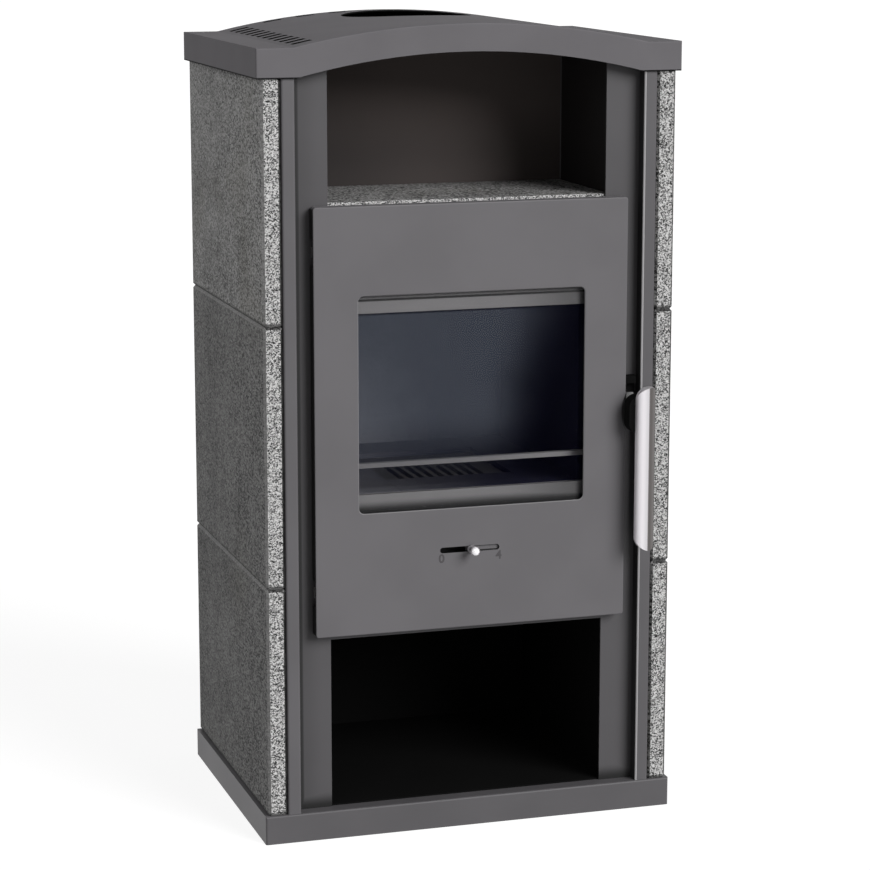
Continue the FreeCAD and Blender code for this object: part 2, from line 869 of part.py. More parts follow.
def make_shield_spacers():
    x = firebox_outer + shield_lap - spacer_inset
    low = firebox_floor + shield_lower_inset + spacer_inset
    high = cover_bottom - shield_upper_inset - spacer_inset
    spacers = [hexagon_y(side * x, z, rear_inner - shield_standoff, rear_inner, spacer_radius)
               for side in (-1, 1) for z in (low, high)]
    return Part.makeCompound(spacers)


def make_hinge_bracket(level):
    """Base on the front panel, an arm that reaches into the door and an upright pin at its end."""
    base_left = hinge_x - hinge_arm_offset
    base = box(base_left, base_left + hinge_base_width, panel_front - hinge_base_thickness, panel_front,
               level - hinge_base_height / 2, level + hinge_base_height / 2)
    arm_bottom = level - hinge_base_height / 2
    arm_top = arm_bottom + hinge_arm_thickness
    arm = box(base_left, base_left + hinge_arm_width, hinge_y, panel_front, arm_bottom, arm_top)
    end = cylinder_z(hinge_x, hinge_y, arm_bottom, arm_top, hinge_arm_radius)
    pin = cylinder_z(hinge_x, hinge_y, arm_bottom, arm_top + hinge_pin_length, hinge_pin_radius)
    return base.multiFuse([arm, end, pin]).removeSplitter()


def hinge_eye(level):
    bottom = level - hinge_base_height / 2 + hinge_arm_thickness + slip_gap
    left = hinge_x - hinge_eye_side
    block = box(left, left + hinge_eye_width, door_face_back, frame_back, bottom, bottom + hinge_eye_height)
    bore = cylinder_z(hinge_x, hinge_y, bottom, bottom + hinge_eye_height, hinge_pin_radius + running_gap)
    return block.cut(bore)


def make_door_hinge_eyes():
    return Part.makeCompound([hinge_eye(level) for level in hinge_levels])


def hinge_cuts(left, right, y0, y1):
    half = hinge_base_height / 2 + hinge_cut_margin
    return [box(left, right, y0, y1, level - half, level + half) for level in hinge_levels]


def handle_notch():
    """Shallow arc scooped out of the door's free edge, beside the handle."""
    half = handle_notch_height / 2
    low = FreeCAD.Vector(door_half, door_front, handle_level - half)
    deep = FreeCAD.Vector(door_half - handle_notch_depth, door_front, handle_level)
    high = FreeCAD.Vector(door_half, door_front, handle_level + half)
    outline = face_of([arc(low, deep, high), line(high, low)])
    return outline.extrude(FreeCAD.Vector(0, door_back - door_front, 0))


def frame_boss_places():
    x = door_half - boss_side_inset
    low = door_bottom + boss_end_inset
    step = (door_top - boss_end_inset - low) / (boss_rows - 1)
    return [(side * x, low + row * step) for side in (-1, 1) for row in range(boss_rows)]


def make_door_front_plate():
    """Folded pan with the window, the air slot, the scooped edge and bosses for the inner frame."""
    pan = rounded_prism(-door_half, door_half, door_front, door_back, door_bottom, door_top, door_corner)
    rim = [edge for edge in pan.Edges if edge.BoundBox.YMax < door_front + tolerance]
    pan = pan.makeFillet(door_edge_round, rim)
    hollow = box(-door_half + door_sheet, door_half - door_sheet, door_face_back, door_back,
                 door_bottom + door_sheet, door_top - door_sheet)
    window = rounded_prism(-window_half, window_half, door_front, door_face_back,
                           window_bottom, window_top, window_corner)
    slot = slot_y(air_slot_left, air_slot_right, door_front, door_face_back,
                  air_slot_level - air_slot_height / 2, air_slot_level + air_slot_height / 2)
    latch_half = cam_reach + latch_window_margin
    latch_window = box(door_half - door_sheet, door_half, door_face_back, door_back,
                       handle_level - latch_half, handle_level + latch_half)
    cuts = [hollow, window, slot, latch_window, handle_notch()]
    cuts += hinge_cuts(-door_half, -door_half + door_sheet, door_face_back, door_back)
    bosses = []
    for x, z in frame_boss_places():
        boss = hexagon_y(x, z, door_face_back, frame_front, boss_radius)
        thread = cylinder_y(x, z, door_face_back, frame_front, frame_screw_radius + press_gap)
        bosses.append(boss.cut(thread))
    plate = pan.cut(cuts)
    plate = plate.makeChamfer(window_edge_bevel, window_front_edges(plate))
    return plate.multiFuse(bosses).removeSplitter()


def window_front_edges(plate):
    """Outline of the window on the door's front face."""
    outline = []
    for edge in plate.Edges:
        spread = edge.BoundBox
        on_front = spread.YMax < door_front + tolerance
        across = max(abs(spread.XMin), abs(spread.XMax)) < window_half + tolerance
        along = spread.ZMin > window_bottom - tolerance and spread.ZMax < window_top + tolerance
        if on_front and across and along:
            outline.append(edge)
    return outline


def make_door_inner_frame():
    """Plate that clamps the glass, with a tab that carries the handle's bushing."""
    plate = box(-frame_half, frame_half, frame_front, frame_back, frame_bottom, frame_top)
    tab = box(frame_opening_half, handle_x + bushing_radius + latch_tab_wall, frame_front, frame_back,
              handle_level - latch_tab_height / 2, handle_level + latch_tab_height / 2)
    half = frame_opening_half
    opening = rounded_prism(-half, half, frame_front, frame_back, frame_opening_bottom, frame_opening_top,
                            frame_opening_corner)
    cuts = [opening, cylinder_y(handle_x, handle_level, frame_front, frame_back, bushing_radius + press_gap)]
    eye_right = hinge_x - hinge_eye_side + hinge_eye_width + frame_gap
    cuts += hinge_cuts(-frame_half, eye_right, frame_front, frame_back)
    for x, z in frame_boss_places():
        cuts.append(cylinder_y(x, z, frame_front, frame_back, frame_screw_radius + slip_gap))
    cuts.append(box(-air_port_width / 2, air_port_width / 2, frame_front, frame_back,
                    air_slot_level - air_port_height / 2, air_slot_level + air_port_height / 2))
    return plate.fuse(tab).removeSplitter().cut(cuts)


def make_window_glass():
    half = window_half + glass_lap
    return box(-half, half, glass_front, glass_back, window_bottom - glass_lap, window_top + glass_lap)


def make_glass_gasket():
    margin = (glass_lap + glass_gasket_width) / 2
    near = (glass_lap - glass_gasket_width) / 2
    half = window_half
    outer = box(-half - margin, half + margin, door_face_back, glass_front,
                window_bottom - margin, window_top + margin)
    inner = box(-half - near, half + near, door_face_back, glass_front,
                window_bottom - near, window_top + near)
    return outer.cut(inner)


def make_door_gasket():
    """Flat rope seal around the fire opening, seated on the inner frame."""
    half = fire_opening_half + gasket_margin
    back = panel_front - slip_gap
    low = fire_opening_bottom - gasket_margin
    high = fire_opening_top + gasket_margin
    outer = rounded_prism(-half - gasket_width, half + gasket_width, frame_back, back,
                          low - gasket_width, high + gasket_width,
                          gasket_inner_corner + gasket_width)
    inner = rounded_prism(-half, half, frame_back, back, low, high, gasket_inner_corner)
    return outer.cut(inner)


def make_frame_screws():
    screws = []
    for x, z in frame_boss_places():
        head = hexagon_y(x, z, frame_back, frame_back + frame_screw_head_height, frame_screw_head)
        shank = cylinder_y(x, z, door_face_back, frame_back, frame_screw_radius)
        screws.append(head.fuse(shank).removeSplitter())
    return Part.makeCompound(screws)


def make_latch_bushing():
    front = door_front + bushing_front_gap
    outer = cylinder_y(handle_x, handle_level, front, frame_back, bushing_radius)
    return outer.cut(cylinder_y(handle_x, handle_level, front, frame_back, shaft_radius + running_gap))


def make_latch_keeper():
    """Bracket on the front panel, with a lip beside the resting cam."""
    left = handle_x - keeper_width / 2
    right = left + keeper_width
    bottom = handle_level + cam_reach + keeper_gap
    top = bottom + keeper_height
    lip_back = panel_front - keeper_sheet - keeper_throat
    base = box(left, right, panel_front - keeper_sheet, panel_front, bottom, top)
    web = box(left, right, lip_back - keeper_sheet, panel_front, top - keeper_sheet, top)
    lip = box(left, right, lip_back - keeper_sheet, lip_back, top - keeper_lip_height, top)
    return base.multiFuse([web, lip]).removeSplitter()


def make_handle_shaft():
    return cylinder_y(handle_x, handle_level, hub_back - hub_socket_depth, cam_back, shaft_radius)


def make_handle_hub():
    """Upright stadium between the shaft and the bar, with a blind socket for the shaft."""
    half = hub_width / 2
    hub = slot_y(handle_x - half, handle_x + half, hub_front, hub_back,
                 handle_level - hub_height / 2, handle_level + hub_height / 2)
    rim = [edge for edge in hub.Edges if edge.BoundBox.YMin > hub_back - tolerance]
    hub = hub.makeChamfer(hub_bevel, rim)
    return hub.cut(cylinder_y(handle_x, handle_level, hub_back - hub_socket_depth, hub_back,
                              shaft_radius + press_gap))


def make_handle_bar():
    """Half-round grip with an off-centre ridge and rounded ends."""
    right = bar_left + bar_width
    front = hub_front - bar_depth
    top = bar_bottom + bar_length

    def at(x, y):
        return FreeCAD.Vector(x, y, bar_bottom)

    ridge = at(bar_left + bar_ridge, front)
    section = face_of([
        bulged(at(bar_left, hub_front), ridge, bar_inner_bulge),
        bulged(ridge, at(right, hub_front), bar_outer_bulge),
        line(at(right, hub_front), at(bar_left, hub_front)),
    ])
    grip = section.extrude(FreeCAD.Vector(0, 0, bar_length))
    outline = box(bar_left, right, front, hub_front, bar_bottom, top)
    inner_ends = [edge for edge in outline.Edges
                  if edge.BoundBox.YLength > bar_depth - tolerance
                  and edge.BoundBox.XMax < bar_left + tolerance]
    outline = outline.makeFillet(bar_inner_round, inner_ends)
    outer_ends = [edge for edge in outline.Edges
                  if edge.BoundBox.YLength > bar_depth - tolerance
                  and edge.BoundBox.XMin > right - tolerance]
    outline = outline.makeFillet(bar_outer_round, outer_ends)
    return grip.common(outline)


def make_latch_cam():
    """Flat finger on the shaft that points up at rest."""
    half = cam_width / 2
    finger = box(handle_x - half, handle_x + half, cam_front, cam_back,
                 handle_level, handle_level + cam_reach)
    boss = cylinder_y(handle_x, handle_level, cam_front, cam_back, shaft_radius + cam_boss_wall)
    bore = cylinder_y(handle_x, handle_level, cam_front, cam_back, shaft_radius + press_gap)
    return boss.fuse(finger).removeSplitter().cut(bore)


def make_air_slide_plate():
    return box(slide_left, slide_right, slide_front, slide_back,
               air_slot_level - slide_height / 2, air_slot_level + slide_height / 2)


def make_air_knob():
    """Ball on a collared stem that runs in the slot and stands on the slide plate."""
    ball_y = door_front - knob_reach
    stem = cylinder_y(knob_x, air_slot_level, ball_y, slide_front, knob_stem_radius)
    ball = Part.makeSphere(knob_radius, FreeCAD.Vector(knob_x, ball_y, air_slot_level))
    collar_back = door_front - slip_gap
    collar = cylinder_y(knob_x, air_slot_level, collar_back - knob_collar_thickness, collar_back,
                        knob_collar_radius)
    return stem.fuse([ball, collar]).removeSplitter()


def make_air_slide_guides():
    """Two angle strips on the door that hold the slide plate by its long edges."""
    left = slide_left + air_slot_left - knob_x - guide_margin
    right = slide_right + air_slot_right - knob_x + guide_margin
    edge = air_slot_level + slide_height / 2
    lip_front = slide_back + slip_gap
    foot = box(left, right, door_face_back, lip_front, edge + slip_gap, edge + guide_width)
    lip = box(left, right, lip_front, lip_front + guide_lip_sheet, edge - guide_lip, edge + guide_width)
    upper = foot.fuse(lip).removeSplitter()
    lower = upper.mirror(FreeCAD.Vector(0, 0, air_slot_level), FreeCAD.Vector(0, 0, 1))
    return Part.makeCompound([upper, lower])


def make_parts():
    side_panel = drilled_right_side_panel()
    firebox_wall = make_right_firebox_wall()
    firebrick = make_right_firebrick()
    parts = {
        "base_plinth": make_base_plinth(),
        "wood_store_floor": make_wood_store_floor(),
        "right_side_panel": side_panel,
        "left_side_panel": mirror_x(side_panel),
        "front_panel": make_front_panel(),
        "rear_panel": make_rear_panel(),
        "rear_screws": make_rear_screws(),
        "top_cover": drilled_top_cover(),
        "stone_keys": make_stone_keys(),
        "niche_liner": make_niche_liner(),
        "niche_ceiling": make_niche_ceiling(),
        "niche_shelf_plate": make_niche_shelf_plate(),
        "niche_stone_slab": make_niche_stone_slab(),
        "wood_store_liner": make_wood_store_liner(),
        "right_firebox_wall": firebox_wall,
        "left_firebox_wall": mirror_x(firebox_wall),
        "firebox_back_wall": make_firebox_back_wall(),
        "firebox_bottom": make_firebox_bottom(),
        "firebox_top": make_firebox_top(),
        "hearth_plate": make_hearth_plate(),
        "flue_duct": make_flue_duct(),
        "flue_collar": make_flue_collar(),
        "right_firebrick": firebrick,
        "left_firebrick": mirror_x(firebrick),
        "rear_firebrick": make_rear_firebrick(),
        "hearth_bricks": make_hearth_bricks(),
        "baffle_plate": make_baffle_plate(),
        "fire_grate": make_fire_grate(),
        "log_guard": make_log_guard(),
        "ember_lip": make_ember_lip(),
        "ash_pan": make_ash_pan(),
        "ash_pan_rails": make_ash_pan_rails(),
        "heat_shield": make_heat_shield(),
        "shield_spacers": make_shield_spacers(),
        "lower_hinge_bracket": make_hinge_bracket(hinge_levels[0]),
        "upper_hinge_bracket": make_hinge_bracket(hinge_levels[1]),
        "latch_keeper": make_latch_keeper(),
        "door_front_plate": make_door_front_plate(),
        "door_inner_frame": make_door_inner_frame(),
        "door_hinge_eyes": make_door_hinge_eyes(),
        "window_glass": make_window_glass(),
        "glass_gasket": make_glass_gasket(),
        "door_gasket": make_door_gasket(),
        "frame_screws": make_frame_screws(),
        "latch_bushing": make_latch_bushing(),
        "air_slide_guides": make_air_slide_guides(),
        "handle_bar": make_handle_bar(),
        "handle_hub": make_handle_hub(),
        "handle_shaft": make_handle_shaft(),
        "latch_cam": make_latch_cam(),
        "air_slide_plate": make_air_slide_plate(),
        "air_knob": make_air_knob(),
    }
    for index, place in enumerate(("lower", "middle", "upper")):
        stone = make_right_stone(index)
        parts["right_stone_" + place] = stone
        parts["left_stone_" + place] = mirror_x(stone)
    return parts


os.makedirs("parts", exist_ok=True)
for name, shape in make_parts().items():
    shape.exportStep("parts/" + name + ".step")
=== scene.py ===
"""Looks of the steel wood stove: paint, stone, glass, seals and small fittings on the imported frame."""
import bmesh
import bpy
import math
from mathutils import Matrix, Vector


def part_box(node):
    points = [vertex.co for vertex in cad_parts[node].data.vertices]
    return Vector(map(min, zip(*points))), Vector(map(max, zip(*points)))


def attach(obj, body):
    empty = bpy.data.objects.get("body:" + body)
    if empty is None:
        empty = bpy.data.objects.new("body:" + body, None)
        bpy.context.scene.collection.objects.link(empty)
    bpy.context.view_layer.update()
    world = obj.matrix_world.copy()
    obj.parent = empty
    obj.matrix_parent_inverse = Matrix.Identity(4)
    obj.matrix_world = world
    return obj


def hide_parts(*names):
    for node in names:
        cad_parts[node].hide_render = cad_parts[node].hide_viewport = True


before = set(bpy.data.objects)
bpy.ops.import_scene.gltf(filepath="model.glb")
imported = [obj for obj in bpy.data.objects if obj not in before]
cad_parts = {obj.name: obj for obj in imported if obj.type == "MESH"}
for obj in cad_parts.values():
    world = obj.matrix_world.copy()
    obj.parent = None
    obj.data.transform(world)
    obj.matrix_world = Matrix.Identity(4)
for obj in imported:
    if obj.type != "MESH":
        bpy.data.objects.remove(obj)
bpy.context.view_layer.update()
MM = 0.001
quarter_turn = math.radians(90)

# Camera at the photograph's angle
camera_place = (-1.102, -3.572, 1.223)
camera_turn = 17.34
camera_tilt = 11.12
camera_lens = 115.7

# Broad soft lights: turn to the left, height and spread are in degrees
lights = {
    "key_light": {"strength": 3.1, "turn": -32.0, "height": 27.0, "spread": 34.0},
    "fill_light": {"strength": 1.1, "turn": 130.0, "height": 20.0, "spread": 60.0},
}
ambient_level = 0.22
surround_white = (1.0, 1.0, 1.0)

# Floor
floor_reach = 60.0
floor_sides = 64
floor_shade = (0.28, 0.28, 0.28)
floor_glow = (0.85, 0.85, 0.85)
no_glow = (0.0, 0.0, 0.0)

# Colours, as linear values
paint_grey = (0.128, 0.123, 0.130)
frame_grey = (0.165, 0.161, 0.165)
# Grey of the painted highlights on the window's bevel and the right post's fold
highlight_grey = (0.52, 0.51, 0.52)
matt_black = (0.010, 0.010, 0.011)
# Black of soot, and of the painted shade that the dark masks and the stone's shaded places mix in
soot_and_shade_black = (0.004, 0.004, 0.004)
# Brown of the niche, which on its back is also painted light
niche_brown = (0.120, 0.100, 0.094)
stone_dark = (0.014, 0.014, 0.014)
stone_pale = (0.350, 0.347, 0.343)
stone_moss = (0.120, 0.114, 0.094)
stone_vein = (0.50, 0.50, 0.48)
# Pale bevels of the stone, partly wear and partly painted highlight
wear_and_highlight_stone = (0.40, 0.397, 0.394)
sawn_dark = (0.030, 0.030, 0.030)
sawn_pale = (0.68, 0.675, 0.67)
satin_shade = (0.86, 0.83, 0.86)
satin_flank = (0.085, 0.075, 0.072)
brick_pale = (0.240, 0.240, 0.260)
brick_dark = (0.005, 0.005, 0.014)
glass_clear = (0.004, 0.004, 0.030)
# Painted reflection over the glass's left part
glass_reflection = (0.110, 0.125, 0.165)
iron_black = (0.024, 0.024, 0.025)
iron_rust = (0.060, 0.045, 0.035)
plate_dull = (0.30, 0.30, 0.31)
plate_bright = (0.46, 0.46, 0.45)
rope_dark = (0.012, 0.012, 0.012)
rope_pale = (0.070, 0.069, 0.067)
ink_dark = (0.050, 0.047, 0.050)
ink_faded = (0.085, 0.080, 0.085)

# Tones, by which a colour is multiplied; the tones of the plinth, the panel and the posts paint shade, and
# the cover's tone paints light, on sheets of one paint
plinth_shade_tone = 0.74
panel_shade_tone = 0.60
left_side_shade_tone = 0.87
right_side_shade_tone = 0.78
cover_light_tone = 1.24
row_tones = {"lower": 0.69, "middle": 0.70, "upper": 1.10}
shelf_tone = 1.15
stem_tone = 1.4
paint_tones = (0.95, 1.05)
brick_tones = (0.8, 1.0)
bar_light_tones = (1.16, 0.66)
ball_tones = (1.15, 1.3)

# Roughness of each finish, or the two ends that it varies between; the waver is that of every paint
paint_waver = 0.12
paint_rough = 0.50
frame_rough = 0.55
matt_rough = 0.62
soot_rough = 0.80
cover_rough = 0.90
floor_rough = 0.90
brick_rough = 0.95
rope_rough = 0.95
niche_rough = (0.60, 0.75)
stone_rough = (0.90, 0.75)
iron_rough = (0.72, 0.87)
plate_rough = (0.28, 0.48)
bar_rough = (0.36, 0.52)
ball_rough = (0.24, 0.32)
glass_rough = (0.02, 0.05)
ink_rough = (0.60, 0.70)

# Gloss of each finish
paint_gloss = 0.30
ink_gloss = 0.30
glass_gloss = 0.25
niche_gloss = 0.12
stone_gloss = 0.10
brick_gloss = 0.10
rope_gloss = 0.10
cover_gloss = 0.06
soot_gloss = 0.05
floor_gloss = 0.0

# How metallic the bare metals are
iron_metallic = 0.3
plate_metallic = 1.0
bar_metallic = 0.5
ball_metallic = 0.4

# Cloudy patterns, with their scale to the metre, and the range that most of their values lie in
paint_cloud = {"scale": 9.0, "detail": 3.0}
paint_grain = {"scale": 1400.0, "detail": 1.0}
niche_cloud = {"scale": 6.0, "detail": 3.0}
stone_patches = {"scale": 13.0, "detail": 3.0, "roughness": 0.6}
stone_clouds = {"scale": 4.0, "detail": 3.0}
stone_pits = {"scale": 150.0, "detail": 1.0}
brick_flakes = {"scale": 260.0, "detail": 3.0, "roughness": 0.7}
brick_cloud = {"scale": 7.0, "detail": 4.0, "roughness": 0.6}
iron_pores = {"scale": 420.0, "detail": 3.0, "roughness": 0.65}
rust_patches = {"scale": 24.0, "detail": 3.0}
plate_cloud = {"scale": 70.0, "detail": 3.0}
bar_brushing = {"scale": 2600.0}
ball_cloud = {"scale": 300.0}
glass_haze = {"scale": 11.0, "detail": 4.0, "roughness": 0.6}
ink_wear = {"scale": 500.0, "detail": 3.0}
noise_range = (0.3, 0.7)

# Relief of each finish: its height and its strength
paint_relief = (0.05 * MM, 0.35)
stone_relief = (0.3 * MM, 0.4)
brick_relief = (0.5 * MM, 0.6)
iron_relief = (0.3 * MM, 0.6)
bar_relief = (0.03 * MM, 0.3)
rope_relief = (0.6 * MM, 0.8)

# Share of a normal along an axis where a face starts to count as facing that way, and where it fully does
roughly_facing = (0.3, 0.6)
squarely_facing = (0.5, 0.9)

# Cover: its outer faces, inside which walls get painted shade, the band of painted shadow along its lower
# edge, and the painted shade on its top
cover_sides = (280 * MM, 281 * MM)
cover_ends = (205 * MM, 206 * MM)
cover_edge_shadow = (989.8 * MM, 991.2 * MM)
cover_top_shade = 0.2

# Door: its middle height, how far above and below it lie its top and bottom edges, which are kept free of
# painted shade, and the bevel round the window, which gets a painted highlight
door_middle = 550 * MM
door_ends = (275 * MM, 276 * MM)
window_reach = (160 * MM, 161 * MM)
bevel_rise = (0.60, 0.66)
bevel_fall = (0.76, 0.82)
window_bevel_highlight = 0.22

# Front panel: places and depths of the painted shade beside the posts and the plinth
left_post_shadow = (222 * MM, 226 * MM)
left_shade = (195 * MM, 222 * MM)
right_shade = (206 * MM, 230 * MM)
foot_shadow = (41 * MM, 60 * MM)
left_post_shadow_depth = 0.90
left_shade_depth = 0.20
right_shade_depth = 0.40
foot_shadow_depth = 0.95

# Posts: their walls beside the door, which get painted shade, and the painted highlight on the fold of the
# right one
post_wall = (195 * MM, 205 * MM)
post_wall_shade_depth = 0.88
fold_highlight_across = (0.10, 0.20)
fold_highlight_forward = (0.35, 0.45)

# Frame behind the glass: the places and depths of its painted shade below and above the glass and on the
# right, and of the soot on its back
frame_low_shade = (434 * MM, 448 * MM)
frame_high_shade_line = 707 * MM
frame_high_shade = (1 * MM, 2 * MM)
frame_right_shade = (40 * MM, 160 * MM)
frame_right_shade_depth = 0.6
back_soot_depth = 0.8

# Niche: the painted highlight on the seam in its far right corner, and how brown each place is; on the back
# the brown grows towards the top and the right as painted light
niche_seam_highlight = (193 * MM, 194 * MM)
brown_waver = 40 * MM
brown_height = (860 * MM, 980 * MM)
brown_side = (-190 * MM, 100 * MM)
brown_walls = 0.12
brown_back = 0.10
brown_light_by_height = 0.58
brown_light_by_side = 0.37

# Soapstone: grains to the metre, their shape and their contrast, which fades towards the back
grain_shape = (1.0, 0.6, 1.0)
coarse_grain = 430.0
fine_grain = 760.0
coarse_share = 0.65
face_contrast = (1.8, 1.1)
contrast_fade = (-200 * MM, 100 * MM)
face_relief = 0.5
edge_grain = 700.0
edge_range = (0.05, 0.95)

# Soapstone: patches, mossy clouds, veins and pits of its honed faces
patch_depth = 0.7
moss_range = (0.52, 0.70)
moss_depth = 0.3
vein_slope = (0.0, 0.35, 1.0)
vein_scale = 1.9
vein_bend = 1.2
vein_width = (0.0, 0.005)
vein_patches = (0.40, 0.55)
vein_depth = 0.3
pit_range = (0.70, 0.74)
pit_depth = 0.7

# Soapstone: the axis that honed faces look along, and where the hidden faces of the cladding lie, which get
# painted shade
honed_sides = ("X", (0.50, 0.65))
honed_top = ("Z", (0.75, 0.95))
stone_back_shade = (200 * MM, 220 * MM)

# Soapstone: bevels and joints of the cladding's blocks, pale with wear and painted highlight, with painted
# shade on the other bevels and above each joint
joint_shade = (3.5 * MM, 6.0 * MM)
joint_depth = 0.65
bevel_side = (0.4, 0.6)
bevel_slope = (0.3, 0.5)
corner_rise = (0.55, 0.65)
corner_fall = (0.75, 0.85)
corner_place = (100 * MM, 150 * MM)
left_half = (-10 * MM, 10 * MM)
stone_bevel_highlight = 0.22
left_stone_bevel_highlight = 0.22
left_corner_highlight = 0.5
right_corner_shade = 0.5
bevel_shade = 0.85

# Boards of the firebox: where each kind grows darker towards the right
rear_darkening = (-80 * MM, 100 * MM)
side_darkening = (-100 * MM, 160 * MM)
hearth_darkening = (-400 * MM, 100 * MM)
darkening_waver = 100 * MM

# Bare metals: rust on the iron, the bar's brushing and flank, the painted light across its turned face, and
# where the knob's stem starts
rust_range = (0.50, 0.75)
rust_depth = 0.5
brushing_shape = (1.0, 1.0, 0.02)
brushing_waver = 0.2
bar_flank = (0.30, 0.55)
bar_light_turn = (-0.60, -0.05)
knob_stem = (11.5 * MM, 12.5 * MM)

# Window: the painted reflection over the glass's left part leans to the right with height and ends above and
# below
reflection_lean = 0.2
reflection_waver = 60 * MM
reflection_reach = (0 * MM, 120 * MM)
reflection_rise = (455 * MM, 560 * MM)
reflection_fall = (686 * MM, 692 * MM)
glass_alpha = (0.02, 0.22)

# Air slide, whose edges get painted shade, as the shadow of the slot
slide_shadow_rim = (2.0 * MM, 3.2 * MM)

# Figures under the air slot; a digit stands as high as its share of the letter size
figure_height = 11 * MM
digit_share = 0.7
figure_drop = 16 * MM
figure_relief = 0.1 * MM
figure_weight = 0.5 * MM
figure_places = {"0": -42 * MM, "4": 36 * MM}

# Fold along the top of the heat shield
fold_drop = 14 * MM
fold_gap = 0.5 * MM
fold_sheet = 1 * MM

# Rope seal of the door
seal_width = 12 * MM
seal_corner = 18 * MM
seal_sides = 12
seal_steps = 8
strand_scale = 190.0
strand_bend = 1.0
strand_shapes = ((1.0, 1.0, 1.0), (-1.0, 1.0, 1.0))

# Points nearer to each other than this are one point
merge_gap = 0.01 * MM


class Value:
    """A socket of a finish, on which plain arithmetic adds Math nodes."""

    def __init__(self, finish, socket):
        self.finish = finish
        self.socket = socket

    def maths(self, operation, first, second=0.0):
        return self.finish.node("ShaderNodeMath", {"operation": operation}, {0: first, 1: second})

    def __add__(self, other):
        return self.maths("ADD", self, other)

    def __radd__(self, other):
        return self.maths("ADD", other, self)

    def __sub__(self, other):
        return self.maths("SUBTRACT", self, other)

    def __rsub__(self, other):
        return self.maths("SUBTRACT", other, self)

    def __mul__(self, other):
        return self.maths("MULTIPLY", self, other)

    def __rmul__(self, other):
        return self.maths("MULTIPLY", other, self)

    def __neg__(self):
        return self.maths("SUBTRACT", 0.0, self)

    def __abs__(self):
        return self.maths("ABSOLUTE", self)


class Finish:
    """The nodes of one material, or of the world, built one by one."""

    def __init__(self, owner):
        owner.use_nodes = True
        self.owner = owner
        self.tree = owner.node_tree
        self.tree.nodes.clear()

    def node(self, kind, settings=None, inputs=None, output=0):
        """Adds a node: its settings first, then the values or links of its sockets."""
        node = self.tree.nodes.new(kind)
        for name, setting in (settings or {}).items():
            setattr(node, name, setting)
        for name, value in (inputs or {}).items():
            if isinstance(value, Value):
                self.tree.links.new(value.socket, node.inputs[name])
            else:
                node.inputs[name].default_value = value
        return Value(self, node.outputs[output]) if node.outputs else None

    def place(self):
        return self.node("ShaderNodeTexCoord", output="Object")

    def stretched(self, shape):
        """Object coordinates, stretched along the axes whose number is small."""
        return self.node("ShaderNodeMapping", None, {"Vector": self.place(), "Scale": shape})

    def noise(self, scale, detail=2.0, roughness=0.5, place=None):
        """A cloudy pattern, on Object coordinates where no place is given."""
        return self.node("ShaderNodeTexNoise", None,
                         {"Vector": place or self.place(), "Scale": scale, "Detail": detail,
                          "Roughness": roughness})

    def grains(self, scale, place=None):
        """A random number for each grain of a stone."""
        cells = self.node("ShaderNodeTexVoronoi", None, {"Vector": place or self.place(), "Scale": scale},
                          output="Color")
        return self.node("ShaderNodeSeparateColor", None, {0: cells})

    def waves(self, scale, bend, shape, profile="SIN"):
        """Slanting waves, bent a little, on stretched coordinates."""
        return self.node("ShaderNodeTexWave", {"bands_direction": "DIAGONAL", "wave_profile": profile},
                         {"Vector": self.stretched(shape), "Scale": scale, "Distortion": bend})

    def past(self, value, ends):
        """0 before the first end, 1 past the second and a smooth step between them."""
        low, high = ends
        return self.node("ShaderNodeMapRange", {"interpolation_type": "SMOOTHSTEP"},
                         {"Value": value, "From Min": low, "From Max": high})

    def before(self, value, ends):
        """1 before the first end, 0 past the second and a smooth step between them."""
        return 1.0 - self.past(value, ends)

    def within(self, value, rise, fall):
        """1 past the rise and before the fall, 0 outside them."""
        return self.past(value, rise) * self.before(value, fall)

    def either(self, first, *others):
        """The strongest of several masks."""
        for other in others:
            first = self.node("ShaderNodeMath", {"operation": "MAXIMUM"}, {0: first, 1: other})
        return first

    def mix(self, factor, first, second):
        """Two colours mixed; the node has several sockets of one name, so they go by number."""
        return self.node("ShaderNodeMix", {"data_type": "RGBA"},
                         {0: factor, 6: colour(first), 7: colour(second)}, output=2)

    def toned(self, factor, shade, tones):
        """One shade, from its first tone to its second."""
        return self.mix(factor, scaled(shade, tones[0]), scaled(shade, tones[1]))

    def axis(self, vector, name):
        return self.node("ShaderNodeSeparateXYZ", None, {0: vector}, output=name)

    def facing(self, name):
        """How far the surface faces along an axis of the piece."""
        return self.axis(self.node("ShaderNodeTexCoord", output="Normal"), name)

    def along(self, name):
        """Place along an axis of the piece."""
        return self.axis(self.place(), name)

    def outward(self):
        """Distance from the middle of a face that looks out to its side, negative where it looks back in."""
        return self.along("X") * self.facing("X")

    def in_view(self):
        """1 for what the camera sees straight, in a gloss or through glass."""
        rays = ("Is Camera Ray", "Is Glossy Ray", "Is Transmission Ray")
        return self.either(*[self.node("ShaderNodeLightPath", output=ray) for ray in rays])

    def bump(self, pattern, height, strength):
        return self.node("ShaderNodeBump", None,
                         {"Height": pattern, "Distance": height, "Strength": strength})

    def surface(self, **sockets):
        """Principled surface: each socket's name is written with underscores."""
        inputs = {}
        for name, value in sockets.items():
            socket = name.replace("_", " ").title().replace("Ior", "IOR")
            inputs[socket] = colour(value) if isinstance(value, tuple) else value
        shader = self.node("ShaderNodeBsdfPrincipled", None, inputs)
        self.node("ShaderNodeOutputMaterial", None, {"Surface": shader})
        return self.owner


def new_finish(name):
    return Finish(bpy.data.materials.new(name))


def colour(value):
    """A colour with its alpha, or the value itself where it is a link."""
    return value if isinstance(value, Value) else (*value, 1.0)


def scaled(shade, tone):
    return tuple(part * tone for part in shade)


